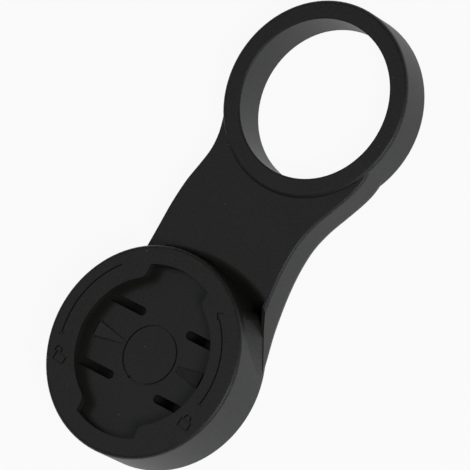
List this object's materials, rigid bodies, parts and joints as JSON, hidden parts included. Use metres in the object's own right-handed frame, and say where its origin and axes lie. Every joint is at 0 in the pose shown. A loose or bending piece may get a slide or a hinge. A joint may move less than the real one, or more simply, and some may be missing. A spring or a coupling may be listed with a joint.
{
  "type": "bike computer mount",
  "caption": "Flat moulded arm with a closed ring for a steerer tube at one end and a round quarter-turn socket for a handlebar computer at the other.",
  "frame": {"origin": "middle of the ring's bore, halfway up the ring", "axes": "+Z along the bore's axis, out of the face that carries the socket; +X from the ring to the head; +Y completes the right hand"},
  "size_m": [0.0899, 0.0382, 0.0105],
  "materials": {
    "moulded_plastic": "matte black moulded plastic with a fine even grain"
  },
  "bodies": {
    "root": {"mount_body": "moulded_plastic"}
  },
  "joints": []
}
